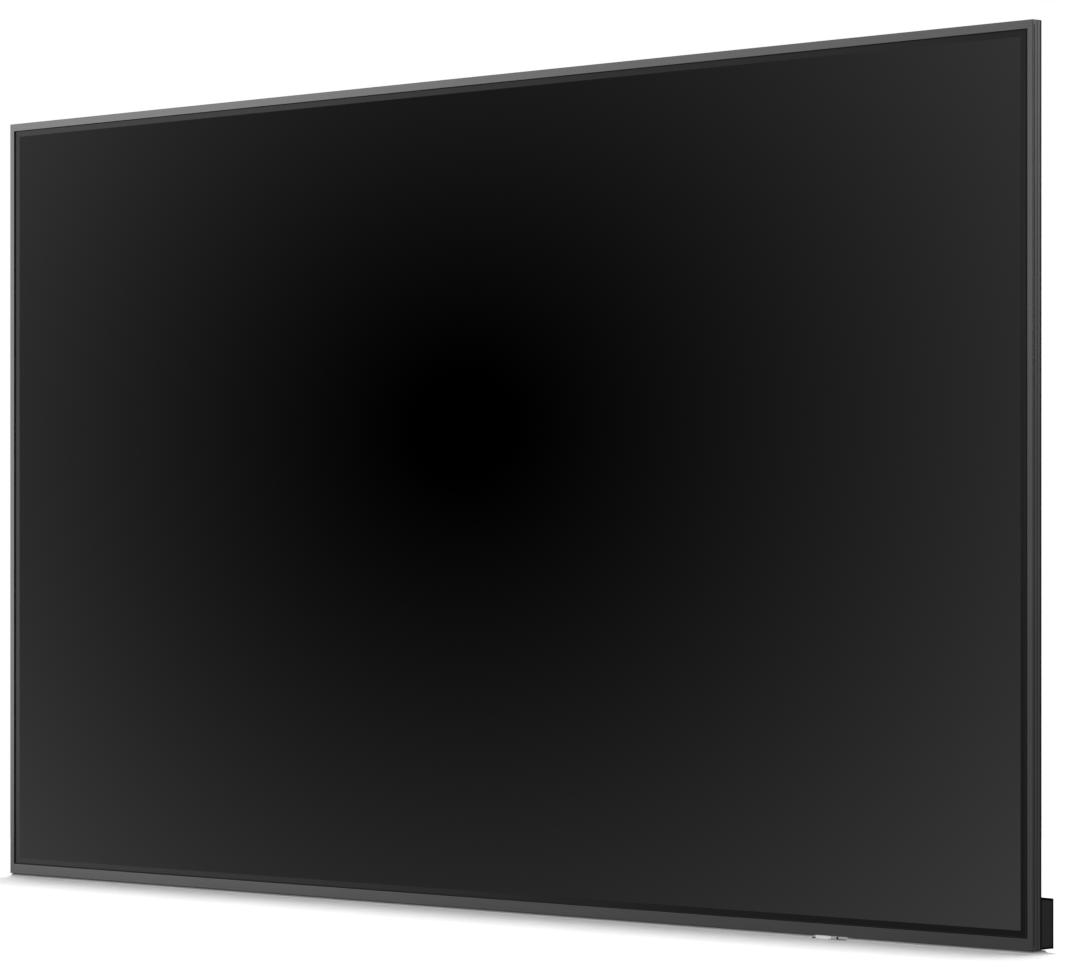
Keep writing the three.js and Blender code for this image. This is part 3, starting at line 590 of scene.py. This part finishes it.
xs = lines([-963.5, 963.5, WINDOW[0], WINDOW[1], PODX], [s_ * (RX - 49 * t) for t in T_LINES for s_ in (-1, 1)],
           [c + f for c in (-540, -40, 40, 540, -845, -675, 675, 845) for f in fine],
           [c + f for c in LOUVRE_X for f in (-18, 18)], range(-900, 901, 60))
zs = lines([-550.7, 550.7, WINDOW[2], WINDOW[3], PODZ, 363, 367, 423, 427],
           [s_ * (RZ - 49 * t) for t in T_LINES for s_ in (-1, 1)],
           [c + f for c in (335, 395, 455, -400, -455, -420, -30, 30, 420) for f in fine], range(-480, 481, 60))
pressed("rear_pan", xs, zs, pan_height, pan_keep, M["cover"], 1.4, replaces=("rear_cover",))

# ------------------------------------------------------------------ electronics cover
F = (-592.0, 592.0, -340.0, 272.0)
R3, RUNX, RUNZ = WINDOW, 22.0, 20.0
BAYX, BAYZ0, BAYZ1 = -488.6, -176.0, 116.0
PB0, PB1, PBZ = 118.0, 238.0, -248.7
RAILX0, RAILX1, RAILZ = 271.4, 328.6, 250.6
TOP_VENTS = [(-220 + i * 55 - 20, -220 + i * 55 + 20) for i in range(9)]
LOW_VENTS = [(-250 + i * 55 - 20, -250 + i * 55 + 20) for i in range(6)]
SPK_VENTS = [(s_ * (400 + i * 34) - 13, s_ * (400 + i * 34) + 13) for i in range(4) for s_ in (-1, 1)]
E_BEADS = [(-225, 70, 225, 70), (-225, 130, 225, 130), (-225, 190, 225, 190), (-225, -70, 90, -70), (-225, -130, 90, -130),
           (-225, -190, 90, -190), (390, -230, 390, 200), (450, -230, 450, 200), (510, -230, 510, 200),
           (-390, -230, -390, 200), (-440, -230, -440, 200)]
VROW = [(258 - 20 * 0.47, 258 - 20 * 0.34), (258 - 20 * 0.72, 258 - 20 * 0.59)]
VROW_LOW = [(-326 + 20 * 0.34, -326 + 20 * 0.47), (-326 + 20 * 0.59, -326 + 20 * 0.72)]


def hump_height(x, z):
    t = min((x - R3[0]) / RUNX, (R3[1] - x) / RUNX, (z - R3[2]) / RUNZ, (R3[3] - z) / RUNZ)
    h = 31.8 + 31.2 * soft(t, 0.12)
    for x0, z0, x1, z1 in E_BEADS:
        if min(x0, x1) - 9 < x < max(x0, x1) + 9 and min(z0, z1) - 9 < z < max(z0, z1) + 9:
            h += bead(x, z, x0, z0, x1, z1, 7.5, 1.5)
    return h


def hump_keep(x, z):
    if R3[0] < x < BAYX and BAYZ0 < z < BAYZ1:
        return False
    if PB0 < x < PB1 and R3[2] < z < PBZ:
        return False
    if RAILX0 < abs(x) < RAILX1 and abs(z) < RAILZ:
        return False
    if abs(x) < RAILX0 and abs(z) < 22.6:
        return False
    for a, b in VROW:
        if a < z < b and any(p < x < q for p, q in TOP_VENTS):
            return False
    for a, b in VROW_LOW:
        if a < z < b and any(p < x < q for p, q in LOW_VENTS + SPK_VENTS):
            return False
    return True


xs = lines([F[0], F[1], BAYX, PB0, PB1], [s_ * v for v in (RAILX0, RAILX1) for s_ in (-1, 1)],
           [R3[0] + RUNX * t for t in T_LINES], [R3[1] - RUNX * t for t in T_LINES],
           [v for pq in TOP_VENTS + LOW_VENTS + SPK_VENTS for v in pq],
           [c + f for c in (-225, 225, 90, 390, 450, 510, -390, -440) for f in fine], range(-540, 541, 60))
zs = lines([F[2], F[3], BAYZ0, BAYZ1, PBZ, -22.6, 22.6, -RAILZ, RAILZ],
           [R3[2] + RUNZ * t for t in T_LINES], [R3[3] - RUNZ * t for t in T_LINES], [v for r in VROW + VROW_LOW for v in r],
           [c + f for c in (70, 130, 190, -70, -130, -190, -230, 200) for f in fine], range(-300, 241, 60))
pressed("electronics_housing", xs, zs, hump_height, hump_keep, M["cover"], 1.4, replaces=("electronics_cover",))


# ------------------------------------------------------------------ small turned and swept parts
def lathe(bm, profile, n, matrix):
    """profile of (radius, height) from the axis out and back to it, turned about +Z then placed"""
    rings = []
    for r, h in profile:
        rings.append([matrix @ Vector((r * math.cos(2 * math.pi * i / n), r * math.sin(2 * math.pi * i / n), h)) for i in range(n)])
    vs = [[bm.verts.new(p) for p in ring] for ring in rings]
    for a, b in zip(vs, vs[1:]):
        for i in range(n):
            j = (i + 1) % n
            bm.faces.new((a[i], a[j], b[j], b[i]))
    bm.faces.new(vs[0][::-1])
    bm.faces.new(vs[-1])


TO_REAR = Matrix.Rotation(math.radians(-90), 4, "X")      # +Z becomes +Y


def place(x, d, z, rot=0.0):
    return Matrix.Translation((x * MM, Y(d), z * MM)) @ TO_REAR @ Matrix.Rotation(rot, 4, "Z")


def screw_head(bm, x, d, z, r=3.3, h=1.9, rot=0.3):
    m = place(x, d, z, rot)
    lathe(bm, [(0.25 * r * MM, -0.0005), (r * MM, -0.0005), (r * MM, 0.25 * h * MM), (0.92 * r * MM, 0.6 * h * MM),
               (0.72 * r * MM, 0.9 * h * MM), (0.42 * r * MM, h * MM), (0.40 * r * MM, 0.5 * h * MM), (0.05 * r * MM, 0.42 * h * MM)], 18, m)
    for k in range(2):
        t = bmesh.new()
        bmesh.ops.create_cube(t, size=1.0)
        for v in t.verts:
            v.co = Vector((v.co.x * 0.22 * r * MM, v.co.y * 0.86 * r * MM, 0.52 * h * MM + v.co.z * 0.2 * h * MM))
        merge(bm, t, m @ Matrix.Rotation(k * math.pi / 2, 4, "Z"))


bm = bmesh.new()
k = 0
for x in range(-560, 561, 140):
    for z in (265.0, -333.0):
        if not (z < 0 and 100 < x < 260):
            screw_head(bm, x, 31.8, z, 3.0, 1.7, k * 0.7)
            k += 1
for z in (-260, -205, 145, 205):
    screw_head(bm, -585, 31.8, z, 3.0, 1.7, k * 0.9)
    k += 1
for z in range(-260, 221, 120):
    screw_head(bm, 585, 31.8, z, 3.0, 1.7, k * 0.9)
    k += 1
for x in range(-880, 881, 220):
    for z in (481.0, -481.0):
        if not (z < 0 and x > 770):
            screw_head(bm, x, 30.0, z, 3.4, 2.0, k * 0.6)
            k += 1
for z in range(-360, 361, 180):
    for x in (-893.0, 893.0):
        screw_head(bm, x, 30.0, z, 3.4, 2.0, k * 0.8)
        k += 1
finish_piece("rear_screws", bm, M["screw"], angle=40)

for i in (1, 2, 3, 4):
    lo_, hi_ = bx("cover_screw_%d" % i)
    bm = bmesh.new()
    cx, cz = (lo_.x + hi_.x) / 2 / MM, (lo_.z + hi_.z) / 2 / MM
    screw_head(bm, cx, 18.2, cz, 3.4, 1.8, i * 0.5)
    lathe(bm, [(0.0002, -0.0043), (0.0012, -0.0043), (0.0014, -0.0040), (0.0014, 0.0), (0.0002, 0.0)], 14, place(cx, 18.2, cz))
    finish_piece("frame_screw_%d" % i, bm, M["screw"], replaces=("cover_screw_%d" % i,), angle=40)

# weld nuts in the rails' four mounting holes
bm = bmesh.new()
for x in (-300, 300):
    for z in (-200, 200):
        m = place(x, 68.0, z)
        prof = [(3.35, -0.0160), (6.4, -0.0160), (6.6, -0.0155), (6.6, -0.0002), (4.4, -0.0002)]
        n = 28
        rings = []
        steps = [(6.2, -16.0), (6.2, -0.25), (5.9, -0.05), (4.3, -0.05)]
        hh = -0.4
        while hh > -15.6:                      # thread turns inside the bore
            steps += [(3.95, hh), (3.42, hh - 0.62)]
            hh -= 1.25
        steps += [(3.9, -16.0)]
        for r, h in steps:
            rings.append([m @ Vector((r * MM * math.cos(2 * math.pi * i / n), r * MM * math.sin(2 * math.pi * i / n), h * MM)) for i in range(n)])
        rings.append(rings[0])
        loft(bm, rings, caps=False)
finish_piece("rail_inserts", bm, M["bracket"], angle=40)


def tube(bm, pts, r, n=20):
    """round bar through pts (metres)"""
    rings = []
    up = Vector((1, 0, 0))
    for i, p_ in enumerate(pts):
        a = Vector(pts[max(i - 1, 0)])
        b = Vector(pts[min(i + 1, len(pts) - 1)])
        t = (b - a).normalized()
        u = up - t * up.dot(t)
        u.normalize()
        w = t.cross(u)
        rings.append([Vector(p_) + (u * math.cos(2 * math.pi * j / n) + w * math.sin(2 * math.pi * j / n)) * r for j in range(n)])
    loft(bm, rings)


for name in ("handle_upper_left", "handle_upper_right", "handle_lower_left", "handle_lower_right"):
    lo_, hi_ = bx(name)
    x = (lo_.x + hi_.x) / 2 / MM
    z = (lo_.z + hi_.z) / 2 / MM
    half, rr, reach, foot = 70.0, 16.0, 59.5, 32.4
    pts = [(x, foot - 1.5, z - half), (x, 38, z - half)]
    n = 9
    for i in range(n + 1):
        a = i / n * math.pi / 2
        pts.append((x, reach - rr + rr * math.sin(a), z - half + rr - rr * math.cos(a)))
    for i in range(1, 6):
        pts.append((x, reach, z - half + rr + (2 * half - 2 * rr) * i / 6))
    for i in range(n + 1):
        a = i / n * math.pi / 2
        pts.append((x, reach - rr + rr * math.cos(a), z + half - rr + rr * math.sin(a)))
    pts += [(x, 38, z + half), (x, foot - 1.5, z + half)]
    bm = bmesh.new()
    tube(bm, [(a * MM, Y(b), c * MM) for a, b, c in pts], 5.5 * MM, 24)
    for s_ in (-1, 1):
        zc = z + s_ * (half + 5.5)
        mmbox(bm, x - 13, x + 13, 30.05, 32.9, zc - 14.5, zc + 14.5, 1.1, 3)
        lathe(bm, [(0.001, 0.0), (0.0082, 0.0), (0.0078, 0.0012), (0.0062, 0.0026), (0.001, 0.0026)], 24, place(x, 32.6, z + s_ * half))
        screw_head(bm, x, 32.8, z + s_ * (half + 13.5), 3.2, 1.8, 0.4 + s_)
    finish_piece("carry_" + name, bm, M["handle"], replaces=(name,), angle=38)

# ------------------------------------------------------------------ port plate with a cut-out for each socket
SOCKETS = ["video_socket_1", "video_socket_2", "data_socket", "network_socket"]
PL_LO, PL_HI = bx("port_plate")
zl, dl, holes = [PL_LO.z, PL_HI.z], [PL_LO.y, PL_HI.y], []
for nme in SOCKETS:
    lo_, hi_ = bx(nme)
    g_ = 0.0003
    holes.append((lo_.z - g_, hi_.z + g_, lo_.y - g_, hi_.y + g_))
    zl += [lo_.z - g_, hi_.z + g_]
    dl += [lo_.y - g_, hi_.y + g_]
zl, dl = sorted(set(round(v, 6) for v in zl)), sorted(set(round(v, 6) for v in dl))
bm = bmesh.new()
xo = PL_LO.x
g = [[bm.verts.new((xo, d_, z_)) for z_ in zl] for d_ in dl]
for i in range(len(dl) - 1):
    for j in range(len(zl) - 1):
        cy, cz = (dl[i] + dl[i + 1]) / 2, (zl[j] + zl[j + 1]) / 2
        if any(a < cz < b and c < cy < d_ for a, b, c, d_ in holes):
            continue
        bm.faces.new((g[i][j], g[i][j + 1], g[i + 1][j + 1], g[i + 1][j]))
ext = bmesh.ops.extrude_face_region(bm, geom=list(bm.faces))
for v in [e for e in ext["geom"] if isinstance(e, bmesh.types.BMVert)]:
    v.co.x = PL_HI.x
for z_ in (PL_LO.z + 0.008, PL_HI.z - 0.008):
    m = Matrix.Translation((xo, Y(54), z_)) @ Matrix.Rotation(math.radians(-90), 4, "Y")
    lathe(bm, [(0.0005, -0.0002), (0.0026, -0.0002), (0.0025, 0.0007), (0.0016, 0.0012), (0.0010, 0.0012), (0.0009, 0.0006), (0.0002, 0.0005)], 16, m)
finish_piece("port_panel", bm, M["port_plate"], replaces=("port_plate",), angle=30)

# tongues and contacts inside the sockets
bm = bmesh.new()
gold = bmesh.new()
for nme in SOCKETS:
    lo_, hi_ = bx(nme)
    cy, cz = (lo_.y + hi_.y) / 2, (lo_.z + hi_.z) / 2
    if nme.startswith("video"):
        rbox(bm, lo_.x + 0.0015, lo_.x + 0.0130, cy - 0.0007, cy + 0.0007, cz - 0.0055, cz + 0.0055, 0.0003, 2)
        for i in range(9):
            zz = cz + (i - 4) * 0.00115
            rbox(gold, lo_.x + 0.0018, lo_.x + 0.0120, cy + 0.0007, cy + 0.00085, zz - 0.0003, zz + 0.0003, 0.00005, 1)
            rbox(gold, lo_.x + 0.0018, lo_.x + 0.0120, cy - 0.00085, cy - 0.0007, zz - 0.0003, zz + 0.0003, 0.00005, 1)
    elif nme.startswith("data"):
        rbox(bm, lo_.x + 0.0015, lo_.x + 0.0130, cy + 0.0002, cy + 0.0022, cz - 0.0055, cz + 0.0055, 0.0003, 2)
        for i in range(4):
            zz = cz + (i - 1.5) * 0.0025
            rbox(gold, lo_.x + 0.0022, lo_.x + 0.0120, cy + 0.00005, cy + 0.0002, zz - 0.0005, zz + 0.0005, 0.00005, 1)
    else:
        for i in range(8):
            zz = cz + (i - 3.5) * 0.00102
            rbox(gold, lo_.x + 0.0030, lo_.x + 0.0125, cy + 0.0018, cy + 0.0022, zz - 0.00022, zz + 0.00022, 0.00005, 1)
        rbox(bm, lo_.x + 0.0110, lo_.x + 0.0132, cy - 0.0040, cy + 0.0040, cz - 0.0055, cz + 0.0055, 0.0004, 2)
finish_piece("socket_tongues", bm, M["inlet"])
finish_piece("socket_contacts", gold, M["contact"])

# painted shade: matt black cap and strips on the top, rear and lower edges of the pod behind the lower right corner,
# standing in for the shade on those faces
Q_LO, Q_HI = bx("control_pod")
bm = bmesh.new()
q1, q2 = Q_HI.z, Q_HI.z - 0.0025                     # its top falls towards the rear
t = bmesh.new()
prof = [(Y(17.4), q1 - 0.0030), (Q_HI.y - 0.0001, q2 - 0.0026), (Q_HI.y - 0.0001, q2 + 0.00015), (Y(17.4), q1 + 0.00015)]
loft(t, [[(x, y, z) for y, z in prof] for x in (Q_LO.x + 0.0012, Q_HI.x + 0.0002)])
bmesh.ops.recalc_face_normals(t, faces=t.faces)
bmesh.ops.bevel(t, geom=list(t.edges), offset=0.0003, segments=2, profile=0.5, affect="EDGES", clamp_overlap=True)
merge(bm, t)
rbox(bm, Q_HI.x - 0.0009, Q_HI.x + 0.0002, Q_HI.y - 0.0026, Q_HI.y - 0.0001, Q_LO.z + 0.0002, q2, 0.0003)
rbox(bm, Q_HI.x - 0.0009, Q_HI.x + 0.0002, Y(17.4), Q_HI.y - 0.0001, Q_LO.z - 0.0006, Q_LO.z + 0.0014, 0.0003)
finish_piece("pod_painted_shade_strips", bm, M["pod_edge"])

# ------------------------------------------------------------------ finishes on the carried-over nodes
CARRIED = {
    "corner_bracket_top_left": "bracket", "corner_bracket_top_right": "bracket",
    "corner_bracket_bottom_left": "bracket", "corner_bracket_bottom_right": "bracket",
    "middle_frame": "plastic", "optical_film_stack": "film", "diffuser_plate": "diffuser",
    "backlight_chassis": "chassis", "reflector_sheet": "reflector",
    "source_board_left": "board", "source_board_right": "board", "timing_board": "board",
    "main_board": "board", "power_board": "board", "key_board": "board", "sensor_board": "board",
    "video_socket_1": "connector", "video_socket_2": "connector", "data_socket": "connector", "network_socket": "connector",
    "mount_rail_left": "rail", "mount_rail_right": "rail", "mount_crossbar": "rail",
    "connector_tray": "cover", "mains_tray": "cover",
    "mains_inlet": "inlet", "switch_housing": "inlet", "power_rocker": "key",
    "speaker_left": "speaker", "speaker_right": "speaker", "control_pod": "pod",
    "key_power": "key", "key_source": "key", "key_minus": "key", "key_plus": "key",
}
for n in NODES:
    if n.startswith("led_bar"):
        CARRIED[n] = "led_board"
for n, key in CARRIED.items():
    o = NODES[n]
    if o.material_slots:
        for s in o.material_slots:
            s.material = M[key]
    else:
        o.data.materials.append(M[key])

# worked edges on the carried-over nodes that show
EDGED = {"mount_rail_left": 0.7, "mount_rail_right": 0.7, "mount_crossbar": 0.7, "connector_tray": 0.4, "mains_tray": 0.4,
         "video_socket_1": 0.25, "video_socket_2": 0.25, "data_socket": 0.25, "network_socket": 0.25,
         "mains_inlet": 0.5, "switch_housing": 0.5, "power_rocker": 0.7, "key_power": 0.6, "key_source": 0.6,
         "key_minus": 0.6, "key_plus": 0.6, "control_pod": 1.4}
for n, wdt in EDGED.items():
    o = NODES[n]
    we = o.modifiers.new("weld", "WELD")
    we.merge_threshold = 0.00001
    bv = o.modifiers.new("edges", "BEVEL")
    bv.width = wdt * MM
    bv.segments = 2
    bv.limit_method = "ANGLE"
    bv.angle_limit = math.radians(40)
    bv.use_clamp_overlap = True
    if n == "control_pod":            # painted shade: the bevels on the pod's corners take the matt black material, a dark outline standing in for shade
        o.data.materials.append(M["pod_edge"])
        bv.material = 1
    wn = o.modifiers.new("even_normals", "WEIGHTED_NORMAL")
    wn.keep_sharp = True

# ------------------------------------------------------------------ floor
bm = bmesh.new()
FLOOR_Z = CAD_LO.z - 0.0006
n, rad = 96, 1.8
prev = None
centre = bm.verts.new((0, 0, FLOOR_Z))
rings = []
for k in range(1, 9):
    rr = rad * k / 8
    rings.append([bm.verts.new((rr * math.cos(2 * math.pi * i / n), rr * math.sin(2 * math.pi * i / n), FLOOR_Z)) for i in range(n)])
for i in range(n):
    bm.faces.new((centre, rings[0][i], rings[0][(i + 1) % n]))
for a, b in zip(rings, rings[1:]):
    for i in range(n):
        j = (i + 1) % n
        bm.faces.new((a[i], b[i], b[j], a[j]))
me = bpy.data.meshes.new("studio_floor")
bm.to_mesh(me)
bm.free()
floor = bpy.data.objects.new("studio_floor", me)
bpy.context.scene.collection.objects.link(floor)
me.materials.append(material("floor_pale", (0.86, 0.86, 0.86), 0.9, spec=0.0, tint=0.006, tint_scale=2, grain=(40, 40, 40),
                             grain_tint=0.006, bump=0.02))
floor.visible_diffuse = False      # no bounce from the set onto the object
floor.visible_glossy = False

# a low foam pad under the frame, part of the studio set; its edges run out softly into the floor
PAD_TOP = ZB + 0.0002 - FLOOR_Z
PAD = (-965.5, 965.5, 2.2, 26.0)
NOTCH = (H_LO.x / MM - 1.2, H_HI.x / MM + 0.4, (H_HI.y - FRONT) / MM + 0.6)
RUN = [6.4 * t for t in (0, 0.08, 0.17, 0.27, 0.38, 0.5, 0.63, 0.77, 0.9, 1.0)]


def pad_z(x, d):
    dist = math.hypot(max(PAD[0] - x, 0, x - PAD[1]), max(PAD[2] - d, 0, d - PAD[3]))
    return FLOOR_Z + 0.00012 + PAD_TOP * max(0.0, 1 - dist / 6.4) ** 2


xs = lines([PAD[0] - v for v in RUN], [PAD[1] + v for v in RUN], [NOTCH[0], NOTCH[1]], range(-960, 961, 40))
ds = lines([PAD[2] - v for v in RUN], [PAD[3] + v for v in RUN], [NOTCH[2], 6, 10])
bm = bmesh.new()
g = [[bm.verts.new((x * MM, Y(d), pad_z(x, d))) for d in ds] for x in xs]
for i in range(len(xs) - 1):
    for j in range(len(ds) - 1):
        cx, cd = (xs[i] + xs[i + 1]) / 2, (ds[j] + ds[j + 1]) / 2
        if NOTCH[0] < cx < NOTCH[1] and cd < NOTCH[2]:
            continue
        bm.faces.new((g[i][j], g[i + 1][j], g[i + 1][j + 1], g[i][j + 1]))
for v in [v for v in bm.verts if not v.link_faces]:
    bm.verts.remove(v)
me = bpy.data.meshes.new("foam_rest")
bm.to_mesh(me)
bm.free()
me.shade_smooth()
rest = bpy.data.objects.new("foam_rest", me)
bpy.context.scene.collection.objects.link(rest)
me.materials.append(material("foam_pale", (0.86, 0.86, 0.86), 0.95, spec=0.0, tint=0.01, grain=(700, 700, 700), grain_tint=0.01, bump=0.02))
rest.visible_diffuse = False
rest.visible_glossy = False

# ------------------------------------------------------------------ light
world = bpy.data.worlds.new("studio")
bpy.context.scene.world = world
world.use_nodes = True
nt = world.node_tree
for nd in list(nt.nodes):
    nt.nodes.remove(nd)
out = _n(nt, "ShaderNodeOutputWorld")
mix = _n(nt, "ShaderNodeMixShader")
lp = _n(nt, "ShaderNodeLightPath")
seen = _n(nt, "ShaderNodeBackground")
seen.inputs["Color"].default_value = (1, 1, 1, 1)
seen.inputs["Strength"].default_value = 1.0
lit = _n(nt, "ShaderNodeBackground")
tc = _n(nt, "ShaderNodeTexCoord")
dot = _n(nt, "ShaderNodeVectorMath", operation="DOT_PRODUCT")
dot.inputs[1].default_value = (0.707, -0.707, -0.05)
nt.links.new(tc.outputs["Generated"], dot.inputs[0])
WORLD = 0.46
lobe = _maprange(nt, dot.outputs["Value"], 0.35, 0.90, 1.0, 0.35)
sepw = _n(nt, "ShaderNodeSeparateXYZ")
nt.links.new(tc.outputs["Generated"], sepw.inputs[0])
high = _maprange(nt, sepw.outputs["Z"], -0.25, 1.0, 0.78, 1.7)
dot2 = _n(nt, "ShaderNodeVectorMath", operation="DOT_PRODUCT")
dot2.inputs[1].default_value = (0.62, 0.78, -0.05)
nt.links.new(tc.outputs["Generated"], dot2.inputs[0])
lobe = _math(nt, "MULTIPLY", lobe, _maprange(nt, dot2.outputs["Value"], 0.6, 0.95, 1.0, 0.82))
shade = _math(nt, "MULTIPLY", _math(nt, "MULTIPLY", lobe, high), WORLD)
nt.links.new(shade, lit.inputs["Strength"])
nt.links.new(lp.outputs["Is Camera Ray"], mix.inputs["Fac"])
nt.links.new(lit.outputs[0], mix.inputs[1])
nt.links.new(seen.outputs[0], mix.inputs[2])
nt.links.new(mix.outputs[0], out.inputs["Surface"])


def area(name, loc, target, size, power, size_y=None, diffuse=True, glossy=True, spread=180):
    d = bpy.data.lights.new(name, "AREA")
    d.shape = "RECTANGLE"
    d.size = size
    d.size_y = size_y or size
    d.energy = power
    d.spread = math.radians(spread)
    o = bpy.data.objects.new(name, d)
    bpy.context.scene.collection.objects.link(o)
    o.location = loc
    o.rotation_mode = "QUATERNION"
    o.rotation_quaternion = (Vector(target) - Vector(loc)).to_track_quat("-Z", "Y")
    o.visible_camera = False
    o.visible_diffuse = diffuse
    o.visible_glossy = glossy
    return o


area("softbox_left", (-2.75, -1.45, 0.42), (-0.3, 0, 0.1), 2.1, 25, diffuse=False)
area("softbox_mid", (-1.3, -2.7, 0.95), (0.4, 0, 0.2), 1.5, 6.0, diffuse=False)
area("side_softbox", (2.84, 2.35, 1.05), (0.97, 0.0, 0.25), 1.6, 3.3, diffuse=False)
rear_a = area("rear_softbox_left", (-2.3, 2.7, 1.9), (-0.1, 0, 0.15), 1.6, 60, spread=75)
rear_b = area("rear_softbox_right", (1.3, 3.3, 1.8), (0.0, 0, 0.15), 1.6, 34, spread=75)
piece_set = bpy.data.collections.new("rear_light_receivers")       # the rear lights are kept off the floor
for o in list(bpy.context.scene.objects):
    if o.type == "MESH" and o not in (floor, rest) and not o.name.startswith(("frame_strip_top", "bezel_top")):
        piece_set.objects.link(o)
for o in (rear_a, rear_b):
    o.light_linking.receiver_collection = piece_set
sun_d = bpy.data.lights.new("overhead", "SUN")
sun_d.energy = 3.05
sun_d.angle = math.radians(12)
sun = bpy.data.objects.new("overhead", sun_d)
bpy.context.scene.collection.objects.link(sun)
sun.rotation_mode = "QUATERNION"
sun.rotation_quaternion = Vector((0.052, -0.052, -1.0)).to_track_quat("-Z", "Y")
sun.visible_glossy = False

# ------------------------------------------------------------------ camera
cam_d = bpy.data.cameras.new("camera")
cam = bpy.data.objects.new("camera", cam_d)
bpy.context.scene.collection.objects.link(cam)
cam.location = (4.4831, -4.4268, -0.0821)
cam.rotation_euler = (math.radians(90), 0, math.radians(44.97))
cam_d.lens = 158.0
cam_d.sensor_width = 36.0
cam_d.shift_x = -0.00034
cam_d.shift_y = 0.0666
cam_d.clip_start = 0.05
cam_d.clip_end = 200
bpy.context.scene.camera = cam
bpy.context.scene.view_settings.view_transform = "Standard"
bpy.context.scene.view_settings.look = "None"

bpy.context.view_layer.update()
